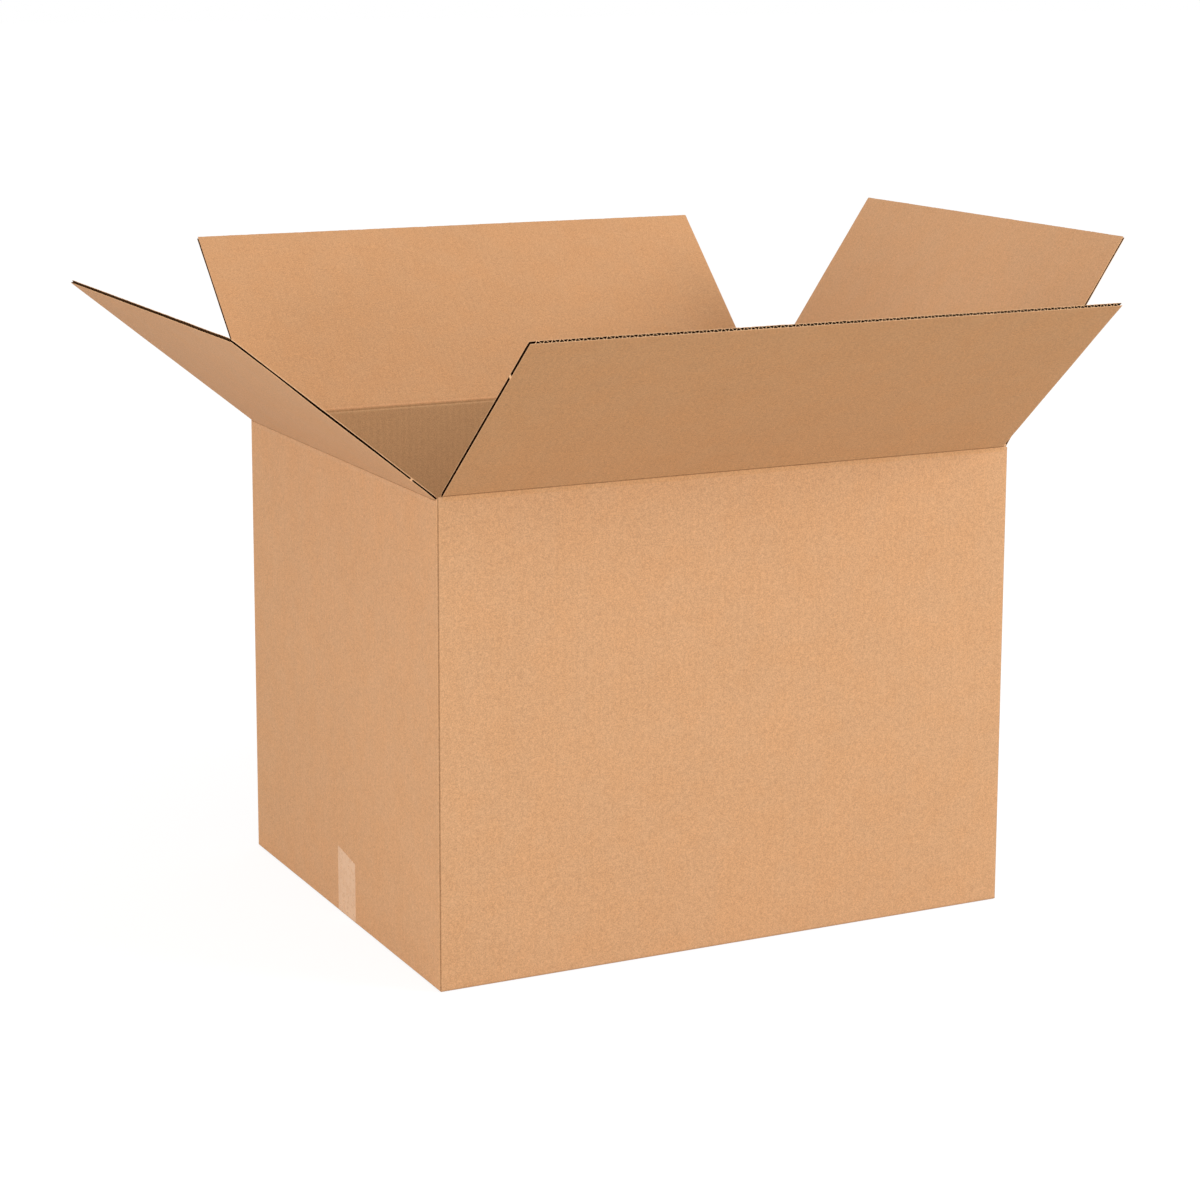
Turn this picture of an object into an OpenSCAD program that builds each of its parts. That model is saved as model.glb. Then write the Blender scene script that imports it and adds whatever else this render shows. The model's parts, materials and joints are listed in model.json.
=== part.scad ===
// Open shipping carton of single-wall corrugated board, folded from one blank and taped under its base.
// Millimetres and degrees. X runs along the long walls, Y across them, Z up from the floor.

/* [Carton] */
// Inside length between the end walls
inner_length = 635; // [540:5:900]
// Inside width between the long walls
inner_width = 508; // [320:4:520]
// Height of the end walls, floor to flap fold
end_height = 485; // [300:5:700]
// Radius of the folded outer edges
fold_radius = 2.5; // [1:0.25:3.5]

/* [Board] */
// Thickness of the corrugated board
board = 4; // [3:0.1:5]
// Thickness of each flat liner
liner = 0.45; // [0.35:0.05:0.6]
// Thickness of the wavy medium, measured upright
medium = 0.5; // [0.3:0.05:0.6]
// Length of one flute wave
flute_pitch = 7.7; // [6:0.1:9.5]
// Flat length at each crest of the wave
crest_flat = 1.4; // [0.8:0.1:2]
// Smallest open flute along a side cut
side_open = 1.5; // [1:0.1:3]
// Crushed strip without flutes beside a fold
crush_strip = 6; // [4:0.5:15]

/* [Flap folds] */
// Room between a flap's side cut and the inside of the next wall
slot_room = 1.5; // [1:0.25:4]
// Gap between two flaps that meet over the middle
seam_gap = 1; // [0.5:0.25:4]
// Radius of the score bead that each flap turns on
score_bead = 0.5; // [0.3:0.05:0.7]
// Play of each mitred face at a fold
fold_play = 0.15; // [0.1:0.05:0.3]
// Room between closed long flaps and the end flaps below them
stack_room = 0.2; // [0.1:0.05:1]

/* [Flap angles] */
// Lean of the front flap from upright
front_angle = 49; // [10:0.5:120]
// Lean of the back flap from upright
back_angle = 46.5; // [10:0.5:120]
// Lean of the left flap from upright
left_angle = 51; // [10:0.5:120]
// Lean of the right flap from upright
right_angle = 34; // [10:0.5:120]

/* [Base and glue joint] */
// Gap between the two layers of base flaps
layer_gap = 0.3; // [0.1:0.05:1]
// Width of the glue tab
tab_width = 35; // [20:1:60]
// Thickness of the crushed glue tab
tab_board = 3; // [2:0.1:4]
// Height of the glue tab's lower end
tab_foot = 40; // [20:1:100]
// Distance of the glue tab's upper end below the end flaps' fold
tab_head = 30; // [15:1:100]
// Slope of the glue tab's ends
tab_taper = 12; // [0:1:30]
// Depth of the open flute along the blank's cut edge
joint_open = 3; // [1:0.25:3.5]

/* [Tape] */
// Width of the tape
tape_width = 48; // [36:1:75]
// Thickness of the tape
tape_film = 0.1; // [0.08:0.01:0.3]
// Thickness of its glue line
tape_glue = 0.02; // [0.01:0.01:0.1]
// Offset of the tape from the base seam
tape_shift = -14; // [-20:1:20]
// Height of the tape's end on the left wall
tape_left = 72; // [30:1:150]
// Height of the tape's end on the right wall
tape_right = 74; // [30:1:150]
// Slope of the torn ends across the tape
tape_slope = 7; // [0:0.5:15]

/* [Hidden] */
half_length = inner_length / 2 + board;
half_width = inner_width / 2 + board;
corner_slot = board + slot_room;
long_flap = 2 * (half_length - corner_slot);
end_flap = 2 * (half_width - corner_slot);
flap_depth = half_width - seam_gap / 2;
long_height = end_height + board + stack_room;
base_strip = board + crush_strip;
play = fold_play * sqrt(2);
floor_z = tape_film + tape_glue;
layer_z = floor_z + board + layer_gap;
inside_z = layer_z + board;
past = board / 2;
tall = 2 * long_height;
$fn = 48;

// Lays a side profile along a wall: profile x becomes Y, profile y becomes Z
module along(length) {
    rotate([90, 0, 90])
        linear_extrude(length, center = true)
            children();
}

// Both long walls: y = 0 is the outer face and y grows inwards
module on_long_walls(z) {
    for (turn = [0, 180])
        rotate([0, 0, turn])
            translate([0, -half_width, z])
                children();
}

// Both end walls, seen in the same way
module on_end_walls(z) {
    for (turn = [-90, 90])
        rotate([0, 0, turn])
            translate([0, -half_length, z])
                children();
}

// What a round fold takes off a square edge
module edge_waste() {
    difference() {
        translate([-past, -past])
            square(fold_radius + past);
        translate([fold_radius, fold_radius])
            circle(fold_radius);
    }
}

// Upright fold: the waste at one corner, turned to the other corners
module corner_waste(x, y, turn) {
    translate([x, y, -past])
        rotate([0, 0, turn])
            linear_extrude(tall)
                edge_waste();
}

// Mitred wall top with a groove for the flap's score bead
module fold_waste(length) {
    along(length)
        polygon([
            [-past, past - play],
            [board + past, -board - past - play],
            [board + past, 4 * board],
            [-past, 4 * board]
        ]);
    rotate([0, 90, 0])
        cylinder(h = length, r = score_bead + fold_play, center = true);
}

// Everything between the walls and between the two layers of base flaps
module inside_waste() {
    translate([-inner_length / 2, -inner_width / 2, inside_z])
        cube([inner_length, inner_width, tall]);
    translate([-inner_length / 2, -inner_width / 2, floor_z + board])
        cube([inner_length, inner_width, layer_gap]);
    // Well between the inner base flaps
    translate([flap_depth - half_length, -inner_width / 2, floor_z + board])
        cube([2 * (half_length - flap_depth), inner_width, tall]);
    // Slits beside the inner base flaps
    for (y = [-inner_width / 2, inner_width / 2 - slot_room])
        translate([-inner_length / 2, y, floor_z + board])
            cube([inner_length, slot_room, tall]);
    // Slits at the ends of the outer base flaps
    for (x = [-inner_length / 2, inner_length / 2 - slot_room])
        translate([x, -inner_width / 2, -past])
            cube([slot_room, inner_width, past + layer_z]);
    // Seam of the outer base flaps
    translate([-inner_length / 2, -seam_gap / 2, -past])
        cube([inner_length, seam_gap, past + layer_z]);
}

// Glue tab of the blank, inside the back wall at the right corner
module glue_tab() {
    top = end_height - tab_head;
    translate([half_length - board, half_width - board, 0])
        rotate([90, 0, 0])
            linear_extrude(tab_board)
                polygon([
                    [0, tab_foot],
                    [0, top],
                    [-tab_width, top - tab_taper],
                    [-tab_width, tab_foot + tab_taper]
                ]);
}

// Four walls and the folded base, one sheet
module carton_body() {
    color("BurlyWood") {
        difference() {
            translate([-half_length, -half_width, floor_z])
                cube([2 * half_length, 2 * half_width, long_height - floor_z]);
            corner_waste(-half_length, -half_width, 0);
            corner_waste(half_length, -half_width, 90);
            corner_waste(-half_length, half_width, -90);
            on_long_walls(floor_z)
                along(2 * half_length + 2 * past)
                    edge_waste();
            on_end_walls(floor_z)
                along(2 * half_width + 2 * past)
                    edge_waste();
            inside_waste();
            on_long_walls(long_height)
                fold_waste(2 * half_length + 2 * past);
            on_end_walls(end_height)
                fold_waste(inner_width);
            // Open flute of the back wall's cut edge at the glue joint
            translate([half_length - joint_open, half_width - board + liner, -past])
                cube([joint_open + past, board - 2 * liner, tall]);
        }
        glue_tab();
    }
}

// Points along the medium, raised or lowered by half its thickness
function wave(count, start, lift) = concat(
    [[start, liner + lift]],
    [for (i = [0 : count - 1], k = [0 : 3])
        [
            start + (i + (k < 2 ? 0 : 0.5) + (k % 2) * 0.5) * flute_pitch
                + (k % 2 == 0 ? 0.5 : -0.5) * crest_flat,
            (k == 0 || k == 3 ? liner : board - liner) + lift
        ]],
    [[start + count * flute_pitch, liner + lift]]
);

function reversed(list) = [for (i = [len(list) - 1 : -1 : 0]) list[i]];

// Section through the board: liner, wavy medium, liner
module board_section(width) {
    count = floor((width - 2 * side_open) / flute_pitch);
    start = -count * flute_pitch / 2;
    translate([-width / 2, 0])
        square([width, liner]);
    translate([-width / 2, board - liner])
        square([width, liner]);
    polygon(concat(
        wave(count, start, medium / 2),
        reversed(wave(count, start, -medium / 2))
    ));
}

// Flap with its score on the X axis and its outer face towards -Y, leaning out by the angle
module flap(width, lean) {
    rotate([lean, 0, 0]) {
        translate([0, 0, base_strip])
            linear_extrude(flap_depth - base_strip)
                board_section(width);
        along(width)
            polygon([
                [0, play],
                [board, board + play],
                [board, base_strip],
                [0, base_strip]
            ]);
        rotate([0, 90, 0])
            cylinder(h = width, r = score_bead, center = true);
    }
}

// Long flap over the front wall
module front_flap() {
    color("Tan")
        translate([0, -half_width, long_height])
            flap(long_flap, front_angle);
}

// Long flap over the back wall
module back_flap() {
    color("Tan")
        translate([0, half_width, long_height])
            rotate([0, 0, 180])
                flap(long_flap, back_angle);
}

// End flap over the left wall
module left_flap() {
    color("Tan")
        translate([-half_length, 0, end_height])
            rotate([0, 0, -90])
                flap(end_flap, left_angle);
}

// End flap over the right wall
module right_flap() {
    color("Tan")
        translate([half_length, 0, end_height])
            rotate([0, 0, 90])
                flap(end_flap, right_angle);
}

// Quarter bend of the tape round a base edge, at the right end
module tape_bend() {
    translate([half_length - fold_radius, floor_z + fold_radius])
        intersection() {
            difference() {
                circle(fold_radius + floor_z);
                circle(fold_radius + tape_glue);
            }
            translate([0, -2 * fold_radius])
                square(2 * fold_radius);
        }
}

// Side view of the tape: under the base and up both end walls
module tape_path() {
    translate([fold_radius - half_length, 0])
        square([2 * (half_length - fold_radius), tape_film]);
    tape_bend();
    mirror([1, 0])
        tape_bend();
    translate([half_length + tape_glue, floor_z + fold_radius])
        square([tape_film, tape_right - floor_z - fold_radius]);
    translate([-half_length - floor_z, floor_z + fold_radius])
        square([tape_film, tape_left - floor_z - fold_radius]);
}

// What the slanted tear takes off one tape end, lower at the front on the left wall
module tear_waste(x, height, side) {
    translate([x, tape_shift, height])
        along(4 * past)
            polygon([
                [-tape_width, side * tape_slope - tape_slope / 2],
                [tape_width, -side * tape_slope - tape_slope / 2],
                [tape_width, 3 * tape_slope + past],
                [-tape_width, 3 * tape_slope + past]
            ]);
}

// Packing tape over the base seam
module bottom_tape() {
    color("Linen")
        difference() {
            translate([0, tape_shift + tape_width / 2, 0])
                rotate([90, 0, 0])
                    linear_extrude(tape_width)
                        tape_path();
            tear_waste(-half_length, tape_left, -1);
            tear_waste(half_length, tape_right, 1);
        }
}

carton_body();
front_flap();
back_flap();
left_flap();
right_flap();
bottom_tape();
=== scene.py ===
import json
import math

import bmesh
import bpy
import numpy as np
from mathutils import Matrix, Vector


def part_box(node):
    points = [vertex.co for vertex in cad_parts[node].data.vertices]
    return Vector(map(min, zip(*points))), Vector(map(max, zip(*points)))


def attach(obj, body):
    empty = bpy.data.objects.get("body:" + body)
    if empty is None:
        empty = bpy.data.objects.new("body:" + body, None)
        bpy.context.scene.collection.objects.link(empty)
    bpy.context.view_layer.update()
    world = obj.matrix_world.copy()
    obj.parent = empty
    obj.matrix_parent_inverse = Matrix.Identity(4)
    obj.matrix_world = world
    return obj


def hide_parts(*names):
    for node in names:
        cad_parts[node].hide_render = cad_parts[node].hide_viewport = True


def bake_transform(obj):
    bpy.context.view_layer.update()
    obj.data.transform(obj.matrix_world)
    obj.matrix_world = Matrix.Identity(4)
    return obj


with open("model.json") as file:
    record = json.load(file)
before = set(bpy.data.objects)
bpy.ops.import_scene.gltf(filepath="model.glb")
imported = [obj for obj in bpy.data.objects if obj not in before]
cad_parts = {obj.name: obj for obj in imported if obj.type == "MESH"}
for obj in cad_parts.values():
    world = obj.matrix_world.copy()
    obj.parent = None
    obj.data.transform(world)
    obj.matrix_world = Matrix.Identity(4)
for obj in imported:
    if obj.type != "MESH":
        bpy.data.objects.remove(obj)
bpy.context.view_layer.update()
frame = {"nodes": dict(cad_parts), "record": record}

# The frame, lamps, floor and camera are in metres, all other lengths in millimetres
MM = 0.001
UP = np.array((0.0, 0.0, 1.0))
CIRCLE = 2 * math.pi

# Values shared with the part's source
BOARD = 4.0
PITCH = 7.7
SIDE_OPEN = 1.5
FOLD_RADIUS = 2.5
LAYER_GAP = 0.3
TAPE_FILM = 0.1
FLOOR_Z = 0.12

# Papers of the board, a little thinner than in the source so that the flutes look open
LINER = 0.36
MEDIUM = 0.42
MEDIUM_SWING = BOARD / 2 - LINER - MEDIUM / 2
# Steepness of the flutes' walls, and the height in a flute below which the paper counts as wall
FLUTE_STEEP = 1.5
WALL_SHARE = 0.62
# Depth of the liners' dips between flute tips, and the length over which they begin
WASHBOARD = 0.07
WASHBOARD_FADE = 8.0
# Growth of the liners at the side cuts and the free edge, and how far in it reaches
SIDE_RIM = 0.04
END_RIM = 0.05
RIM_REACH = 0.5
# How far the knife has pressed each liner in at a flap's free edge, and how far in it reaches
OUTER_CRUSH = 0.08
INNER_CRUSH = 0.3
MOST_CRUSH = 1.05
CRUSH_REACH = 1.3
# Squashed side cuts: how far in they reach, and the span of their variation
PINCH_REACH = 0.9
PINCH_SPAN = (0.3, 1.3)
# Ragged cuts: least and most that is missing from liners and medium
LINER_CUT = (0.06, 0.7)
MEDIUM_CUT = (0.1, 0.5)
MOST_TRIM = 0.4
# Growth of the medium at its cut end, and how far in it reaches
TIP_SWELL = 0.35
SWELL_REACH = 0.8

# Half length of the strip of board that bends at a fold, and of the bend itself
STRIP = 5.2
BEND = 1.7
# How far the strip stands out from wall and flap, and the length over which that ends
PROUD = 0.03
PROUD_FADE = 3.0
# Ridges and presses of the score: height, place along the strip, width
LOW_RIDGE = (0.26, -1.5, 0.75)
HIGH_RIDGE = (0.14, 1.6, 0.8)
OUTER_LINE = (0.22, 0.0, 0.5)
INNER_GROOVE = (0.5, -1.9, 0.7)
# Share by which the flutes show in the ridges and in the groove
RIDGE_FLUTES = 0.22
GROOVE_FLUTES = 0.12
# Wide hollow on the inside of the score
HOLLOW_DEPTH = 0.35
HOLLOW_REACH = 4.4
# Where the squashed side cuts begin below a fold, and the length over which they begin
PINCH_BELOW = 2.5
PINCH_FADE = 3.0
# How far the strip's core lies behind its side cut where that is open and where it is shut
OPEN_RECESS = 1.6
SHUT_RECESS = 0.2

# Ripples: distance between knots and spread
FINE_CRUSH, SLOW_CRUSH = (3.1, 0.07), (23.0, 0.06)
FINE_CUT, SLOW_CUT = (1.7, 0.10), (11.0, 0.08)
SIDE_CRUSH, SIDE_CUT = (20.0, 0.35), (9.0, 0.12)
FLUTE_SLIP, TIP_CUT = (PITCH / 2, 0.22), (5.0, 0.18)
RIDGE_RIPPLE, GROOVE_RIPPLE = (6.0, 0.18), (9.0, 0.10)
BASE_WAVE, BASE_LINER = (4.0, 0.08), (3.0, 0.05)

# Mesh steps: along one flute, beside a side cut, and rows from the fold and from the free edge
LINER_STEPS = 6
MEDIUM_STEPS = 10
SCORE_STEPS = 4
SIDE_STEP = 0.6
LINER_ROWS = (STRIP, 8.0, 13.0, 40.0, 90.0, 150.0, 205.0)
LINER_EDGE_ROWS = np.array((22.0, 9.0, 4.0, 1.6, 0.5, 0.0))
MEDIUM_ROWS = (STRIP, 150.0)
MEDIUM_EDGE_ROWS = np.array((30.0, 6.0, 1.6, 0.7, 0.0))
SCORE_ROWS = np.array((-STRIP, -4.4, -3.6, -2.9, -2.3, -1.8, -1.4, -1.0, -0.6, -0.3, 0.0))

# Depth of the squashed side cuts at the two ends of each fold
PINCH = {
    "front_flap": (0.0, 0.6),
    "back_flap": (0.3, 0.0),
    "left_flap": (0.4, 0.65),
    "right_flap": (0.75, 0.5),
}
# Torn paper that closes a bit of a side cut: end of the fold, distance from the fold, length
PLUGS = {
    "front_flap": ((-1, 201.0, 4.0), (1, 92.0, 3.0)),
    "back_flap": ((1, 60.0, 5.0),),
    "left_flap": ((1, 31.0, 2.5),),
}
# Its rows: how deep each lies behind the cut, where its points lie along the length
PLUG_DEPTHS = np.array((0.15, 0.7, 1.6))
PLUG_POINTS = np.array(((0.0, 0.35, 0.7, 1.0), (0.1, 0.3, 0.75, 0.9), (0.2, 0.4, 0.6, 0.8)))
PLUG_MARGIN = 0.5

# Material slots of the board's pieces
LINER_SLOT, CUT_SLOT, MEDIUM_SHADE_SLOT, TIP_SHADE_SLOT = range(4)

# Seeds of the pieces; flaps and scores count on from theirs
FLAP_SEED = 11
SCORE_SEED = 31
BASE_SEEDS = {-1: 51, 1: 52}

joints = {j["child"]: j for j in frame["record"]["behaviour"]["joints"]}
HALF_LENGTH = abs(joints["left_flap"]["pos_m"][0]) / MM
HALF_WIDTH = abs(joints["front_flap"]["pos_m"][1]) / MM


# Node tree of a material or of the world
class Nodes:
    def __init__(self, owner):
        self.owner = owner
        owner.use_nodes = True
        self.tree = owner.node_tree
        self.tree.nodes.clear()

    # New node; an input is linked if it is a socket and set if it is a value
    def add(self, kind, inputs=None, **settings):
        node = self.tree.nodes.new("ShaderNode" + kind)
        for key, value in settings.items():
            setattr(node, key, value)
        for key, value in (inputs or {}).items():
            if isinstance(value, bpy.types.NodeSocket):
                self.tree.links.new(value, node.inputs[key])
            else:
                node.inputs[key].default_value = value
        return node

    def math(self, operation, a, b=0.0, c=0.0, clamp=False):
        inputs = {0: a, 1: b, 2: c}
        return self.add("Math", inputs, operation=operation, use_clamp=clamp).outputs[0]

    def minus(self, a, b):
        return self.math("SUBTRACT", a, b)

    def times(self, a, b):
        return self.math("MULTIPLY", a, b)

    def above(self, value, limit):
        return self.math("GREATER_THAN", value, limit)

    def size(self, value):
        return self.math("ABSOLUTE", value)

    # Value plus a share of a mark
    def plus(self, value, mark, share):
        return self.math("MULTIPLY_ADD", mark, share, value)

    # Noise swings about a half; this moves it to swing about zero
    def centred(self, noise):
        return self.minus(noise, 0.5)

    def ramp(self, value, low, high, to_low=0.0, to_high=1.0):
        return self.add(
            "MapRange",
            {
                "Value": value,
                "From Min": low,
                "From Max": high,
                "To Min": to_low,
                "To Max": to_high,
            },
            interpolation_type="SMOOTHSTEP",
        ).outputs[0]

    def noise(self, vector, size, detail=2.0, roughness=0.5, stretch=(1, 1, 1)):
        scale = tuple(s / size for s in stretch)
        scaled = self.add("VectorMath", {0: vector, 1: scale}, operation="MULTIPLY").outputs[0]
        return self.add(
            "TexNoise",
            {"Vector": scaled, "Scale": 1.0, "Detail": detail, "Roughness": roughness},
        ).outputs[0]

    def mix(self, factor, a, b, blend_type="MIX"):
        inputs = {0: factor, 6: a, 7: b}
        return self.add("Mix", inputs, data_type="RGBA", blend_type=blend_type).outputs[2]

    # Colour multiplied by a tone for each channel
    def toned(self, colour, red, green, blue):
        tone = self.add("CombineColor", {0: red, 1: green, 2: blue}).outputs[0]
        return self.mix(1.0, colour, tone, "MULTIPLY")

    # Object coordinates in millimetres
    def millimetres(self):
        place = self.add("TexCoord").outputs["Object"]
        return self.add("VectorMath", {0: place, "Scale": 1 / MM}, operation="SCALE").outputs[0]

    def surface(self, socket):
        self.add("OutputMaterial", {"Surface": socket})
        return self.owner

    # Finished material with a bump whose height is in millimetres
    def principled(self, colour, roughness, height, more, strength=1.0):
        bump = self.add("Bump", {"Strength": strength, "Distance": MM, "Height": height})
        look = {"Base Color": colour, "Roughness": roughness, "Normal": bump.outputs[0]}
        return self.surface(self.add("BsdfPrincipled", {**look, **more}).outputs[0])


def new_material(name):
    return Nodes(bpy.data.materials.new(name))


def shade(colour, light_tint):
    return (*(c * t for c, t in zip(colour, light_tint)), 1)


def grey(level):
    return (level, level, level, 1)


# Paper noise: size, detail, roughness
PULP = {
    "blotch": (70.0, 2.0, 0.5),
    "cloud": (16.0, 3.0, 0.55),
    "mottle": (3.2, 2.0, 0.6),
    "grain": (1.15, 2.0, 0.6),
}
HUE_SIZE = 30.0
# Middle of a noise's range, where most of its values lie
MIDDLE = (0.3, 0.7)
# Fibre noise, its stretch for upright and level fibres, and what shows as dark or pale ones
FIBRE = (1.0, 1.0, 0.5)
FIBRE_STRETCH = ((1.6, 1.6, 0.16), (0.16, 0.16, 1.6))
DARK_FIBRE = (0.66, 0.74)
PALE_FIBRE = (0.34, 0.27)
# Share of each mark in the paper's tone
PULP_TONE = {"blotch": 0.06, "cloud": 0.03, "mottle": 0.22, "grain": 0.86}
# In TONE the lines at the corners and along the scores are painted shade, the band is a painted
# highlight, and the wear near the corners is partly a painted highlight
TONE = {
    "dark_fibre": -0.11,
    "pale_fibre": 0.08,
    "flute": 0.008,
    "inside_flute": 0.010,
    "wear_and_highlight": 0.05,
    "corner": -0.45,
    "band_highlight": 0.12,
    "score": -0.36,
}
RED_POWER = 0.9
BLUE_POWER = 1.15
# Height of each mark in the bump
RELIEF = {"grain": 0.05, "mottle": 0.10, "flute": 0.022, "pale_fibre": 0.02}
# How far the faint flute lines wander
FLUTE_WANDER = 1.2
# A face looks along an axis if its normal has this share of it
FACING = 0.7
# Height between the outer and the inner base flaps' upper faces
INNER_BASE_Z = 6.0
# Fades of the marks: from the corner's edge, above the floor, above a flap's fold
WEAR_AND_HIGHLIGHT_CORNER = (4.5, 1.8)
WORN_FOOT = (3.0, 0.6)
WORN_BREAKS = (0.3, 0.6, 0.45, 1.0)
CORNER_SHADE_LINE = (1.75, 0.95)
BAND_FOOT = (0.6, 1.2)
BAND_HEAD = (3.2, 2.2)
SCORE_SHADE_RISE = 0.1
SCORE_SHADE_LINE = (0.9, 0.4)
# Depth behind the outer faces from which the darker inside tone, painted shade, is used, and its
# limits in height
INNER_FACE_DEPTH = 1.0
INSIDE_SHADE_FOOT = 2.0
INSIDE_SHADE_HEAD = (0.6, -0.2)
KRAFT_TONES = ((0.664, 0.362, 0.178), (0.656, 0.368, 0.188))
# Darker, less red tone inside the carton: painted shade
INSIDE_SHADE_TONE = (0.562, 0.331, 0.163, 1)
KRAFT_ROUGH = (0.74, 0.88)
KRAFT_GLOSS = 0.22


# Axis across the flutes of walls and base: Y on the end walls and inner base flaps, else X
def body_run(s, x, y, z):
    normal = s.add("SeparateXYZ", {0: s.add("TexCoord").outputs["Normal"]}).outputs
    end_wall = s.above(s.size(normal[0]), FACING)
    inner_base = s.times(s.above(normal[2], FACING), s.above(z, INNER_BASE_Z))
    along_y = s.math("MAXIMUM", end_wall, inner_base)
    return s.plus(x, along_y, s.minus(y, x))


# Kraft liner: mottled pulp, fibres, faint flute lines, lighter wear with a painted highlight at
# the corners, painted shade along the corners and scores, and painted shade inside the carton.
# waves is the axis across the flutes, or "auto" for the body; crease is the height of a fold; a
# flap's tint is painted light and shade
def kraft(name, waves, light_tint=(1.0, 1.0, 1.0), crease=None):
    s = new_material(name)
    mm = s.millimetres()
    x, y, z = s.add("SeparateXYZ", {0: mm}).outputs
    pulp = {kind: s.noise(mm, *look) for kind, look in PULP.items()}
    fibres = [s.noise(mm, *FIBRE, stretch) for stretch in FIBRE_STRETCH]
    dark, pale = (
        s.math("ADD", *(s.ramp(fibre, *span) for fibre in fibres), clamp=True)
        for span in (DARK_FIBRE, PALE_FIBRE)
    )
    run = body_run(s, x, y, z) if waves == "auto" else {"x": x, "y": y}[waves]
    wander = s.times(s.centred(pulp["cloud"]), FLUTE_WANDER)
    flute = s.math("COSINE", s.times(s.math("ADD", run, wander), CIRCLE / PITCH))

    value = 1.0
    for kind, share in PULP_TONE.items():
        value = s.plus(value, s.centred(pulp[kind]), share)
    value = s.plus(value, dark, TONE["dark_fibre"])
    value = s.plus(value, pale, TONE["pale_fibre"])
    value = s.plus(value, flute, TONE["flute"])

    # Lighter near the upright corners and base edges, in patches: wear, and along the corners a
    # painted highlight; then painted shade as a dark line along the corners
    from_end = s.minus(HALF_LENGTH, s.size(x))
    from_front = s.minus(HALF_WIDTH, s.size(y))
    to_corner = s.math("MAXIMUM", from_end, from_front)
    wear_and_highlight = s.math("MAXIMUM", s.ramp(to_corner, *WEAR_AND_HIGHLIGHT_CORNER), s.ramp(z, *WORN_FOOT))
    wear_and_highlight = s.times(wear_and_highlight, s.ramp(pulp["mottle"], *WORN_BREAKS))
    value = s.plus(value, wear_and_highlight, TONE["wear_and_highlight"])
    # Painted shade: a dark line along the upright corners
    value = s.plus(value, s.ramp(to_corner, *CORNER_SHADE_LINE), TONE["corner"])

    # Inside of the carton, in a darker tone that is painted shade; at a fold also a painted
    # highlight as a pale band inside and painted shade as a dark line along the score outside
    inner_faces = s.above(s.math("MINIMUM", from_end, from_front), INNER_FACE_DEPTH)
    inside = None
    if waves == "auto":
        inside = s.times(inner_faces, s.above(z, INSIDE_SHADE_FOOT))
    elif crease is not None:
        rise = s.minus(z, crease)
        # Painted highlight: a pale band on the inner faces just above the fold
        band_highlight = s.times(s.ramp(rise, *BAND_FOOT), s.ramp(rise, *BAND_HEAD))
        value = s.plus(value, s.times(band_highlight, inner_faces), TONE["band_highlight"])
        # Painted shade: a dark line along the fold on the outer faces
        score = s.ramp(s.size(s.minus(rise, SCORE_SHADE_RISE)), *SCORE_SHADE_LINE)
        score = s.times(score, s.minus(1.0, inner_faces))
        value = s.plus(value, score, TONE["score"])
        inside = s.times(inner_faces, s.ramp(rise, *INSIDE_SHADE_HEAD))

    hue = s.ramp(s.noise(mm, HUE_SIZE), *MIDDLE)
    colour = s.mix(hue, *(shade(tone, light_tint) for tone in KRAFT_TONES))
    if inside is not None:
        colour = s.mix(inside, colour, INSIDE_SHADE_TONE)
        value = s.plus(value, s.times(flute, inside), TONE["inside_flute"])
    red, blue = (s.math("POWER", value, power) for power in (RED_POWER, BLUE_POWER))
    colour = s.toned(colour, red, value, blue)

    height = s.times(pulp["grain"], RELIEF["grain"])
    height = s.plus(height, pulp["mottle"], RELIEF["mottle"])
    height = s.plus(height, flute, RELIEF["flute"])
    height = s.plus(height, pale, RELIEF["pale_fibre"])
    rough = s.ramp(pulp["mottle"], *MIDDLE, *KRAFT_ROUGH)
    return s.principled(colour, rough, height, {"Specular IOR Level": KRAFT_GLOSS})


# Cut paper: fibre noise, patches and their tone, bump height, roughness
CUT_FIBRE = (0.8, 3.0, 0.7)
CUT_PATCH = 6.0
CUT_TONE = (0.9, 1.06)
CUT_RELIEF = 0.12
CUT_ROUGH = (0.8, 0.95)


# Torn fibres in a light and a deep tone: of cut paper, and in dark tones of the flutes' inside,
# where they are painted shade
def cut_edge(name, light, deep, gloss=0.0):
    s = new_material(name)
    mm = s.millimetres()
    fibre = s.noise(mm, *CUT_FIBRE)
    colour = s.mix(s.ramp(fibre, *MIDDLE), (*deep, 1), (*light, 1))
    tone = s.ramp(s.noise(mm, CUT_PATCH), *MIDDLE, *CUT_TONE)
    colour = s.toned(colour, tone, tone, tone)
    rough = s.ramp(fibre, *MIDDLE, *CUT_ROUGH)
    height = s.times(fibre, CUT_RELIEF)
    return s.principled(colour, rough, height, {"Specular IOR Level": gloss})


# Tape: milky patches, streaks across it, tone of each mark, fades of its edges and of the seam
MILK = (9.0, 4.0, 0.6)
MILK_SPAN = (0.40, 0.68)
STREAK = (3.0, 2.0, 0.5, (0.2, 2.0, 0.2))
FILM_LEVEL = 0.985
FILM_TONE = {"grain": 0.09, "streak": 0.05, "edge": 0.06, "seam": -0.22}
FILM_EDGE = (2.0, 0.4)
SEAM_SIDE = (1.0, 0.35)
SEAM_HEAD = (4.0, 2.0)
FILM_TONES = ((0.818, 0.518, 0.312, 1), (0.848, 0.556, 0.352, 1))
FILM_ROUGH = (0.26, 0.40)
FILM_IOR = 1.47
FILM_RELIEF = 0.04
FILM_BUMP = 0.25


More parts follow.
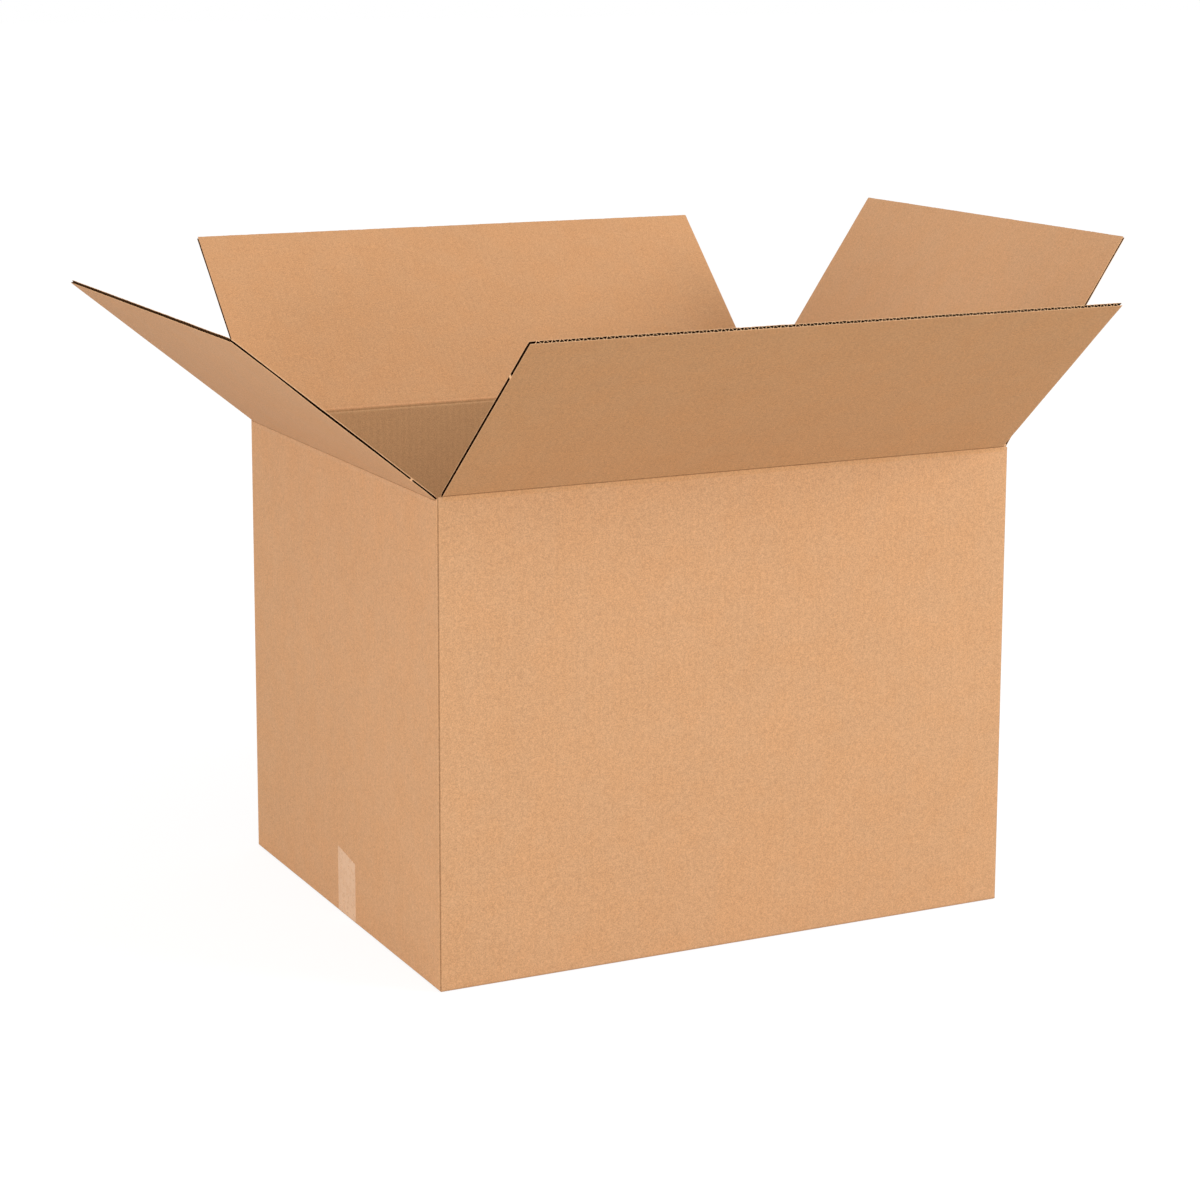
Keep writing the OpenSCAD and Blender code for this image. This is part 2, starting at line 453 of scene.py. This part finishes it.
# Clear packing tape: board tone through a thin warm film, paler where it has not wetted the
# board, and painted shade along the seam between the base flaps beneath it
def film(name, centre, half):
    s = new_material(name)
    mm = s.millimetres()
    _, y, z = s.add("SeparateXYZ", {0: mm}).outputs
    edge = s.ramp(s.size(s.minus(y, centre)), *(half - inset for inset in FILM_EDGE))
    milky = s.ramp(s.noise(mm, *MILK), *MILK_SPAN)
    streak = s.noise(mm, *STREAK)
    grain = s.noise(mm, *PULP["grain"])
    seam = s.times(s.ramp(s.size(y), *SEAM_SIDE), s.ramp(z, *SEAM_HEAD))
    value = s.plus(FILM_LEVEL, s.centred(grain), FILM_TONE["grain"])
    value = s.plus(value, s.centred(streak), FILM_TONE["streak"])
    value = s.plus(value, edge, FILM_TONE["edge"])
    value = s.plus(value, seam, FILM_TONE["seam"])
    colour = s.toned(s.mix(milky, *FILM_TONES), value, value, value)
    rough = s.ramp(milky, 0.0, 1.0, *FILM_ROUGH)
    height = s.times(streak, FILM_RELIEF)
    return s.principled(colour, rough, height, {"IOR": FILM_IOR}, FILM_BUMP)


KRAFT_WALL = kraft("kraft_wall", "auto")
# Each flap's paper made lighter, darker or warmer: painted light and shade for how the light
# falls on that flap
FLAP_LIGHT_TINT = {
    "front_flap": (0.985, 0.957, 0.885),
    "back_flap": (0.925, 0.89, 0.845),
    "left_flap": (1.01, 1.03, 1.06),
    "right_flap": (1.06, 1.08, 1.10),
}
KRAFT_FLAP = {}
KRAFT_SCORE = {}
for child, light_tint in FLAP_LIGHT_TINT.items():
    waves = "x" if abs(joints[child]["axis"][0]) > FACING else "y"
    crease = joints[child]["pos_m"][2] / MM
    KRAFT_FLAP[child] = kraft("kraft_" + child, waves, light_tint)
    KRAFT_SCORE[child] = kraft("kraft_" + child + "_score", waves, light_tint, crease)
CUT = cut_edge("kraft_cut", (0.90, 0.56, 0.31), (0.74, 0.41, 0.20), gloss=0.2)
# Near-black medium, dark brown medium tips and dark flute cells: painted shade of the open flutes
MEDIUM_SHADE = cut_edge("medium_painted_shade", (0.036, 0.013, 0.004), (0.024, 0.008, 0.002))
TIP_SHADE = cut_edge("medium_tip_painted_shade", (0.22, 0.10, 0.038), (0.15, 0.068, 0.026))
CELL_SHADE = cut_edge("flute_depth_painted_shade", (0.10, 0.050, 0.022), (0.06, 0.029, 0.012))


# Faces of one piece with their material slots
class Pile:
    def __init__(self):
        self.points = []
        self.faces = []
        self.slots = []
        self.count = 0

    # Takes in a grid of points and returns their numbers
    def number(self, grid):
        n, m = grid.shape[:2]
        numbers = self.count + np.arange(n * m).reshape(n, m)
        self.points.append(grid.reshape(-1, 3))
        self.count += n * m
        return numbers

    # Quads with one slot, or with a slot each
    def take(self, a, b, c, d, slot):
        quads = np.stack([a, b, c, d], -1).reshape(-1, 4)
        self.faces += quads.tolist()
        self.slots += np.broadcast_to(slot, len(quads)).tolist()

    # Closed sheet between two grids of the same shape; rim slots: sides, first row, last row
    def sheet(self, a, b, slot=0, rim=(0, 0, 0), back=None):
        one, two = self.number(a), self.number(b)
        back = slot if back is None else back
        self.take(one[:-1, :-1], one[:-1, 1:], one[1:, 1:], one[1:, :-1], slot)
        self.take(two[:-1, :-1], two[1:, :-1], two[1:, 1:], two[:-1, 1:], back)
        sides, first, last = rim
        for line, twin, kind in (
            (one[0], two[0], sides),
            (two[-1], one[-1], sides),
            (two[:, 0], one[:, 0], first),
            (one[:, -1], two[:, -1], last),
        ):
            self.take(line[:-1], twin[:-1], twin[1:], line[1:], kind)

    # Closed ring sections joined along their length, with capped ends
    def tube(self, rings, slot, caps):
        one = self.number(rings)
        turn = np.roll(one, -1, 1)
        self.take(one[:-1], turn[:-1], turn[1:], one[1:], slot)
        self.faces += [list(one[0][::-1]), list(one[-1])]
        self.slots += list(caps)

    # One object, smooth up to an angle in degrees
    def build(self, name, materials, angle=40):
        mesh = bpy.data.meshes.new(name)
        mesh.from_pydata(np.concatenate(self.points).tolist(), [], self.faces)
        mesh.polygons.foreach_set("material_index", self.slots)
        for material in materials:
            mesh.materials.append(material)
        work = bmesh.new()
        work.from_mesh(mesh)
        bmesh.ops.recalc_face_normals(work, faces=work.faces)
        work.to_mesh(mesh)
        work.free()
        mesh.shade_smooth()
        mesh.set_sharp_from_angle(angle=math.radians(angle))
        mesh.update()
        piece = bpy.data.objects.new(name, mesh)
        bpy.context.scene.collection.objects.link(piece)
        return piece


def smooth(t):
    t = np.clip(t, 0, 1)
    return t * t * (3 - 2 * t)


def bell(s, place, width):
    return np.exp(-(((s - place) / width) ** 2))


# Smooth random line: one value at each knot, eased between knots
def ripple(rng, at, step, amount):
    k = (at - at.min()) / step
    values = rng.normal(0.0, amount, int(k.max()) + 3)
    i = k.astype(int)
    return values[i] + (values[i + 1] - values[i]) * smooth(k - i)


# Whole flutes that fit in a width
def flute_count(width):
    return int((width - 2 * SIDE_OPEN) // PITCH)


# Flap frame: along the fold, through the board from its outer face, away from the fold.
# A flap's lower limit lays it flat over the carton, so that limit gives its lean at rest
class Fold:
    def __init__(self, child):
        joint = joints[child]
        self.child = child
        self.pos = np.array(joint["pos_m"]) / MM
        self.along = np.array(joint["axis"], float)
        self.inward = np.cross(UP, self.along)
        self.lean = math.radians(-joint["range_deg"][0] - 90)
        sin_l, cos_l = math.sin(self.lean), math.cos(self.lean)
        low, high = (np.array(c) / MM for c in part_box(child))
        self.width = abs((high - low) @ self.along)
        self.half = self.width / 2
        self.depth = (high[2] - self.pos[2] - BOARD * sin_l) / cos_l
        self.through = self.inward * cos_l + UP * sin_l
        self.away = -self.inward * sin_l + UP * cos_l
        self.count = flute_count(self.width)
        self.start = -self.count * PITCH / 2

    def phase(self, u):
        return CIRCLE * (u - self.start) / PITCH

    # Points of the flap, in metres
    def flap_point(self, u, t, d):
        place = self.pos + u[..., None] * self.along
        return (place + t[..., None] * self.through + d[..., None] * self.away) * MM

    # Points given from the wall's outer face, in metres
    def wall_point(self, u, y, z):
        place = self.pos + u[..., None] * self.along
        return (place + y[..., None] * self.inward + z[..., None] * UP) * MM

    # Squash of the side cuts
    def pinch(self, u):
        first, last = PINCH[self.child]
        reach = np.exp(-(self.half - np.abs(u)) / PINCH_REACH)
        return np.where(u < 0, first, last) * reach


# Two liners that dip between the flute tips, cut a little ragged; their faces towards the flutes
# are near-black, painted shade
def flap_liners(pile, f, rng):
    flutes = f.start + np.arange(f.count * LINER_STEPS + 1) * PITCH / LINER_STEPS
    u = np.concatenate([[-f.half, -f.half + SIDE_STEP], flutes, [f.half - SIDE_STEP, f.half]])
    rows = np.concatenate([LINER_ROWS, f.depth - LINER_EDGE_ROWS])
    fade = smooth((rows - STRIP) / WASHBOARD_FADE)
    wave = np.cos(f.phase(u))
    near_side = np.exp((np.abs(u) - f.half) / RIM_REACH)
    near_end = np.exp((rows - f.depth) / RIM_REACH)
    thick = LINER + np.maximum(SIDE_RIM * near_side[:, None], END_RIM * near_end[None, :])
    for outer, pressed in ((True, OUTER_CRUSH), (False, INNER_CRUSH)):
        dip = WASHBOARD * (1 - wave if outer else 1 + wave) / 2
        crush = pressed + ripple(rng, u, *FINE_CRUSH) + ripple(rng, u, *SLOW_CRUSH)
        crush = np.clip(crush, 0.0, MOST_CRUSH)
        end = crush[:, None] * np.exp(-(f.depth - rows)[None, :] / CRUSH_REACH)
        vary = np.clip(1 + ripple(rng, rows, *SIDE_CRUSH), *PINCH_SPAN)
        side = f.pinch(u)[:, None] * (1 + (vary - 1) * fade)[None, :]
        face = dip[:, None] * fade[None, :] + end + side

        least, most = LINER_CUT
        cut = least + np.abs(ripple(rng, u, *FINE_CUT)) + np.abs(ripple(rng, u, *SLOW_CUT))
        cut = np.clip(cut, 0.0, most)
        d = np.repeat(rows[None, :], len(u), 0)
        d[:, -1] -= cut
        d[:, -2] -= cut / 2
        trim = np.clip(np.abs(ripple(rng, rows, *SIDE_CUT)), 0.0, MOST_TRIM)
        w = np.repeat(u[:, None], len(rows), 1)
        w[0] += trim
        w[-1] -= trim

        t, back_t = (face, face + thick) if outer else (BOARD - face, BOARD - face - thick)
        rim = (CUT_SLOT, LINER_SLOT, CUT_SLOT)
        front, back = f.flap_point(w, t, d), f.flap_point(w, back_t, d)
        pile.sheet(front, back, LINER_SLOT, rim, MEDIUM_SHADE_SLOT)


# Wavy medium between the liners, squeezed with them at the free edge, in near-black paper that is
# painted shade of the flutes' inside.
# Its cut end is painted dark brown as shade where it lies on a liner, and pale on the walls
# between if asked for
def flap_medium(pile, f, rng, pale_walls):
    u = f.start + np.arange(f.count * MEDIUM_STEPS + 1) * PITCH / MEDIUM_STEPS
    rows = np.concatenate([MEDIUM_ROWS, f.depth - MEDIUM_EDGE_ROWS])
    slip = ripple(rng, u, *FLUTE_SLIP)
    wave = np.tanh(FLUTE_STEEP * np.cos(f.phase(u)))
    path_t = BOARD / 2 - MEDIUM_SWING * wave / math.tanh(FLUTE_STEEP)
    path_u = u + slip * np.sin(math.pi * (path_t - LINER) / (BOARD - 2 * LINER))
    run_u, run_t = np.gradient(path_u), np.gradient(path_t)
    length = np.hypot(run_u, run_t)
    off_u, off_t = -run_t / length * MEDIUM / 2, run_u / length * MEDIUM / 2
    least, most = MEDIUM_CUT
    d = np.repeat(rows[None, :], len(u), 0)
    d[:, -1] -= np.clip(least + np.abs(ripple(rng, u, *TIP_CUT)), 0.0, most)
    crushed = np.exp(-(f.depth - rows) / CRUSH_REACH)
    squeeze = 1 - (OUTER_CRUSH + INNER_CRUSH) / 2 / MEDIUM_SWING * crushed
    middle = BOARD / 2 + (OUTER_CRUSH - INNER_CRUSH) / 2 * crushed
    swell = 1 + TIP_SWELL * np.exp((rows - f.depth) / SWELL_REACH)

    def face(sign):
        w = path_u[:, None] + sign * off_u[:, None] * swell[None, :]
        t = middle[None, :] + (path_t - BOARD / 2)[:, None] * squeeze[None, :]
        return f.flap_point(w, t + sign * off_t[:, None] * swell[None, :], d)

    half_step = PITCH / (2 * MEDIUM_STEPS)
    on_wall = np.abs(np.cos(f.phase(u[:-1] + half_step))) < WALL_SHARE
    tips = np.where(on_wall & pale_walls, CUT_SLOT, TIP_SHADE_SLOT)
    pile.sheet(face(-1), face(1), MEDIUM_SHADE_SLOT, (MEDIUM_SHADE_SLOT, MEDIUM_SHADE_SLOT, tips))


def side_plugs(pile, f):
    for end, at, length in PLUGS.get(f.child, ()):
        d = at + length * PLUG_POINTS
        u = end * (f.half - PLUG_DEPTHS)[:, None] * np.ones_like(d)
        low, high = (np.full_like(d, t) for t in (PLUG_MARGIN, BOARD - PLUG_MARGIN))
        front, back = f.flap_point(u, low, d), f.flap_point(u, high, d)
        pile.sheet(front, back, CUT_SLOT, (CUT_SLOT, CUT_SLOT, CUT_SLOT))


def make_flap(child, liner_material, seed):
    f = Fold(child)
    rng = np.random.default_rng(seed)
    pile = Pile()
    flap_liners(pile, f, rng)
    flap_medium(pile, f, rng, child != "left_flap")
    side_plugs(pile, f)
    piece = pile.build(child + "_board", [liner_material, CUT, MEDIUM_SHADE, TIP_SHADE])
    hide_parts(child)
    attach(piece, child)
    return f


# Scored fold between wall and flap: two ridges outside, a pressed valley inside
def make_fold(f, liner_material, seed, open_ends):
    rng = np.random.default_rng(seed)
    pile = Pile()
    columns = int(round(f.width / (PITCH / SCORE_STEPS)))
    u = np.linspace(-f.half, f.half, columns + 1)[1:-1]
    u = np.concatenate([[-f.half, SIDE_STEP - f.half], u, [f.half - SIDE_STEP, f.half]])
    s = np.concatenate([SCORE_ROWS, -SCORE_ROWS[-2::-1]])
    wave = np.cos(f.phase(u))

    def ridge(height, place, width):
        return height * bell(s, place, width)

    lift = 1 + RIDGE_FLUTES * wave + ripple(rng, u, *RIDGE_RIPPLE)
    proud = PROUD * smooth((PROUD_FADE - s) / PROUD_FADE)
    out = proud[None, :] + lift[:, None] * (ridge(*LOW_RIDGE) + ridge(*HIGH_RIDGE))[None, :]
    out = out - ridge(*OUTER_LINE)[None, :]
    press = 1 + GROOVE_FLUTES * wave + ripple(rng, u, *GROOVE_RIPPLE)
    hollow = np.where(np.abs(s) < HOLLOW_REACH, 1 + np.cos(math.pi * s / HOLLOW_REACH), 0.0) / 2
    thick = BOARD + proud[None, :] - HOLLOW_DEPTH * hollow[None, :]
    thick = thick - press[:, None] * ridge(*INNER_GROOVE)[None, :]
    squash = f.pinch(u)[:, None] * smooth((s + PINCH_BELOW) / PINCH_FADE)[None, :]
    out, thick = out - squash, thick - squash

    # The outer face breaks at the fold line; the inner one turns over the length of the bend
    sin_l, cos_l = math.sin(f.lean), math.cos(f.lean)
    up = s > 0
    line_y, line_z = np.where(up, -s * sin_l, 0.0), np.where(up, s * cos_l, s)
    turn = f.lean * smooth((s + BEND) / (2 * BEND))
    turn_y, turn_z = np.cos(turn), np.sin(turn)
    flat_y, flat_z = np.where(up, cos_l, 1.0), np.where(up, sin_l, 0.0)
    line = s == 0
    flat_y[line], flat_z[line] = math.cos(f.lean / 2), math.sin(f.lean / 2)
    grid_u = np.repeat(u[:, None], len(s), 1)

    def outer(inset):
        off = out - inset
        return f.wall_point(grid_u, line_y - off * flat_y, line_z - off * flat_z)

    def inner(inset):
        off = thick - inset
        return f.wall_point(grid_u, line_y + off * turn_y, line_z + off * turn_z)

    rim = (CUT_SLOT, LINER_SLOT, LINER_SLOT)
    pile.sheet(outer(0.0), outer(LINER), LINER_SLOT, rim, MEDIUM_SHADE_SLOT)
    pile.sheet(inner(0.0), inner(LINER), LINER_SLOT, rim, MEDIUM_SHADE_SLOT)
    # The core between the liners is near-black, painted shade of the flutes inside
    core = np.concatenate([outer(LINER), inner(LINER)[:, ::-1]], 1)
    first, last = (OPEN_RECESS if is_open else SHUT_RECESS for is_open in open_ends)
    core += f.along * MM * (np.clip(u, first - f.half, f.half - last) - u)[:, None, None]
    caps = [MEDIUM_SHADE_SLOT if is_open else CUT_SLOT for is_open in open_ends]
    pile.tube(core, MEDIUM_SHADE_SLOT, caps)
    piece = pile.build(f.child + "_score", [liner_material, CUT, MEDIUM_SHADE], angle=50)
    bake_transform(piece)


folds = {}
for number, (child, material) in enumerate(KRAFT_FLAP.items()):
    folds[child] = make_flap(child, material, FLAP_SEED + number)
    open_ends = (child != "right_flap", True)
    make_fold(folds[child], KRAFT_SCORE[child], SCORE_SEED + number, open_ends)

# Inlays on the base flaps' edges: how far front and back stand out, and their least height
INLAY_FRONT = 0.05
INLAY_BACK = 0.01
INLAY_HEIGHT = 0.01


# Dark inlays of painted shade in the open flute cells on the free edges of the inner base flaps,
# which are as large as the end flaps
def make_base_edges(like):
    edge_x = HALF_LENGTH - like.depth
    low = FLOOR_Z + BOARD + LAYER_GAP
    y = np.arange(like.count * MEDIUM_STEPS + 1) / MEDIUM_STEPS - like.count / 2
    y = y * PITCH
    pile = Pile()
    for side, seed in BASE_SEEDS.items():
        rng = np.random.default_rng(seed)
        wave = low + BOARD / 2 - MEDIUM_SWING * np.cos(CIRCLE * y / PITCH)
        wave = wave + ripple(rng, y, *BASE_WAVE)
        top = low + BOARD - LINER - np.abs(ripple(rng, y, *BASE_LINER))
        bottom = low + LINER + np.abs(ripple(rng, y, *BASE_LINER))
        for first, second in ((bottom, wave - MEDIUM / 2), (wave + MEDIUM / 2, top)):
            second = np.maximum(second, first + INLAY_HEIGHT)
            grid_y, grid_z = np.stack([y, y], 1), np.stack([first, second], 1)
            front, back = (
                np.stack([np.full_like(grid_y, side * (edge_x - out)), grid_y, grid_z], -1)
                for out in (INLAY_FRONT, INLAY_BACK)
            )
            pile.sheet(front * MM, back * MM)
    piece = pile.build("base_flute_cell_shade", [CELL_SHADE])
    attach(piece, "carton")


make_base_edges(folds["left_flap"])

# Tape mesh: points across, and rows up each wall, round each bend and under the base
TAPE_ACROSS = 41
TAPE_WALL_ROWS = 24
TAPE_BEND_ROWS = 8
TAPE_BASE_ROWS = 40
# Teeth of the torn ends: points across one tooth, and rise from one point to the next
TOOTH_POINTS = 4
TOOTH_RISE = 0.5
# Low wrinkles: height, then waves across and up the tape in radians per millimetre
WRINKLE = 0.10
WRINKLE_FINE = (0.9, 0.35)
WRINKLE_SLOW = (0.2, 0.13)
# How fast the wrinkles rise and end on the way down a wall, and how far they have risen at first
WRINKLE_FALL = 1.6
WRINKLE_FIRST = 0.02
# Points nearer than this lie on the same edge
SAME_PLACE = 0.01


# Packing tape along its CAD path, with toothed ends and a few low wrinkles
def make_tape():
    low, high = (np.array(c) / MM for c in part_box("bottom_tape"))
    edges = (low[1], high[1])
    centre, half = (low[1] + high[1]) / 2, (high[1] - low[1]) / 2
    points = np.array([v.co for v in frame["nodes"]["bottom_tape"].data.vertices]) / MM
    y = np.linspace(*edges, TAPE_ACROSS)
    teeth = np.arange(TAPE_ACROSS) % TOOTH_POINTS - TOOTH_POINTS // 2
    teeth = TOOTH_RISE * np.abs(teeth)
    # Outer radius of the bends, which is also the height where they end
    bend = FOLD_RADIUS + FLOOR_Z
    straight = HALF_LENGTH - FOLD_RADIUS

    def row(x, z):
        return np.stack([np.full_like(y, x), y, np.full_like(y, z)], -1)

    def wrinkles(z, k):
        fine = np.sin(WRINKLE_FINE[0] * y + WRINKLE_FINE[1] * z)
        slow = np.sin(WRINKLE_SLOW[1] * z + WRINKLE_SLOW[0] * y)
        fade = np.sin(math.pi * min(1.0, WRINKLE_FALL * k + WRINKLE_FIRST))
        return WRINKLE * np.clip(fine * slow, 0, 1) * fade

    # Rows from the torn end down one wall and round the bend
    def end_rows(side):
        wall = points[points[:, 0] * side > HALF_LENGTH]
        tops = [wall[np.abs(wall[:, 1] - edge) < SAME_PLACE, 2].max() for edge in edges]
        tops = np.interp(y, edges, tops) - teeth
        rows = []
        for k in np.linspace(0, 1, TAPE_WALL_ROWS):
            z = tops + (bend - tops) * k
            rows.append(row(side * (HALF_LENGTH + FLOOR_Z + wrinkles(z, k)), z))
        for a in np.linspace(0, math.pi / 2, TAPE_BEND_ROWS)[1:-1]:
            x = straight + bend * math.cos(a)
            rows.append(row(side * x, bend - bend * math.sin(a)))
        return rows

    base = [row(x, 0.0) for x in np.linspace(-straight, straight, TAPE_BASE_ROWS)]
    outer = np.stack(end_rows(-1) + base + end_rows(1)[::-1], 0)
    run = np.gradient(outer, axis=0)
    normal = np.stack([-run[..., 2], np.zeros_like(run[..., 0]), run[..., 0]], -1)
    normal /= np.linalg.norm(normal, axis=-1, keepdims=True)
    inner = outer + normal * TAPE_FILM
    pile = Pile()
    pile.sheet(outer * MM, inner * MM)
    piece = pile.build("packing_tape", [film("tape_film", centre, half)])
    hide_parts("bottom_tape")
    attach(piece, "carton")


make_tape()

# Walls and base keep their CAD form; the replaced CAD flaps get their paper too
for child, material in {"carton_body": KRAFT_WALL, **KRAFT_FLAP}.items():
    frame["nodes"][child].data.materials.clear()
    frame["nodes"][child].data.materials.append(material)

# Floor in metres: half size and height; then its tone for other rays and for the camera's
FLOOR_HALF = 30.0
FLOOR_HEIGHT = -0.0004
FLOOR_TONE = 0.62
FLOOR_SEEN_TONE = 0.22
FLOOR_SEEN_GLOW = 0.85
WORLD_LEVEL = 0.745
WHITE = grey(1.0)


# Pale floor: white for the camera where nothing shades it
def make_floor():
    mesh = bpy.data.meshes.new("floor")
    signs = ((-1, -1), (1, -1), (1, 1), (-1, 1))
    corners = [(x * FLOOR_HALF, y * FLOOR_HALF, FLOOR_HEIGHT) for x, y in signs]
    mesh.from_pydata(corners, [], [(0, 1, 2, 3)])
    s = new_material("studio_floor")
    seen = s.add("LightPath").outputs["Is Camera Ray"]
    paper = s.add("BsdfDiffuse", {"Color": s.mix(seen, grey(FLOOR_TONE), grey(FLOOR_SEEN_TONE))})
    glow = s.add("Emission", {"Color": WHITE, "Strength": s.times(seen, FLOOR_SEEN_GLOW)})
    both = s.add("AddShader", {0: paper.outputs[0], 1: glow.outputs[0]})
    mesh.materials.append(s.surface(both.outputs[0]))
    floor = bpy.data.objects.new("floor", mesh)
    bpy.context.scene.collection.objects.link(floor)


# White surround: plain level for the light, white for what is seen directly or mirrored
def make_world():
    world = bpy.data.worlds.new("studio")
    bpy.context.scene.world = world
    s = Nodes(world)
    path = s.add("LightPath").outputs
    seen = path["Is Camera Ray"]
    for extra in ("Is Glossy Ray", "Is Transmission Ray"):
        seen = s.math("MAXIMUM", seen, path[extra])
    level = s.add("MapRange", {"Value": seen, "To Min": WORLD_LEVEL, "To Max": 1.0})
    background = s.add("Background", {"Color": WHITE, "Strength": level.outputs[0]})
    s.add("OutputWorld", {"Surface": background.outputs[0]})


# Round area lamp; places and size in metres, power in watts
def add_lamp(name, place, target, size, power, colour):
    lamp = bpy.data.lights.new(name, "AREA")
    lamp.shape = "DISK"
    lamp.size = size
    lamp.energy = power
    lamp.color = colour
    holder = bpy.data.objects.new(name, lamp)
    bpy.context.scene.collection.objects.link(holder)
    way = Vector(target) - Vector(place)
    holder.location = place
    holder.rotation_euler = way.to_track_quat("-Z", "Y").to_euler()


make_floor()
make_world()
add_lamp("key", (3.0, -2.7, 2.4), (0.1, 0.0, 0.3), 2.0, 102.0, (0.985, 1.0, 1.01))
add_lamp("fill", (-3.7, -1.5, 0.75), (0.0, 0.0, 0.35), 1.3, 47.0, (1.0, 0.96, 0.96))

# Camera fitted to the photograph's corners: picture size, focal length and centre in pixels
PICTURE = 1200
FOCAL = 2907
CENTRE = (575, 440)
SENSOR_MM = 36.0
# Its turn, tilt down and roll in degrees, and its place in metres
YAW, TILT, ROLL = -26.04, 9.86, 0.11
EYE = (-1.3827, -2.7244, 1.0100)

camera = bpy.data.cameras.new("camera")
camera.sensor_width = SENSOR_MM
camera.lens = SENSOR_MM * FOCAL / PICTURE
camera.shift_x = (PICTURE / 2 - CENTRE[0]) / PICTURE
camera.shift_y = (CENTRE[1] - PICTURE / 2) / PICTURE
camera.clip_end = 100.0
viewer = bpy.data.objects.new("camera", camera)
bpy.context.scene.collection.objects.link(viewer)
turns = ((YAW, "Z"), (90 - TILT, "X"), (ROLL, "Z"))
yaw, tilt, roll = (Matrix.Rotation(math.radians(angle), 4, axis) for angle, axis in turns)
viewer.matrix_world = Matrix.Translation(EYE) @ yaw @ tilt @ roll
bpy.context.scene.camera = viewer
bpy.context.scene.view_settings.view_transform = "Standard"
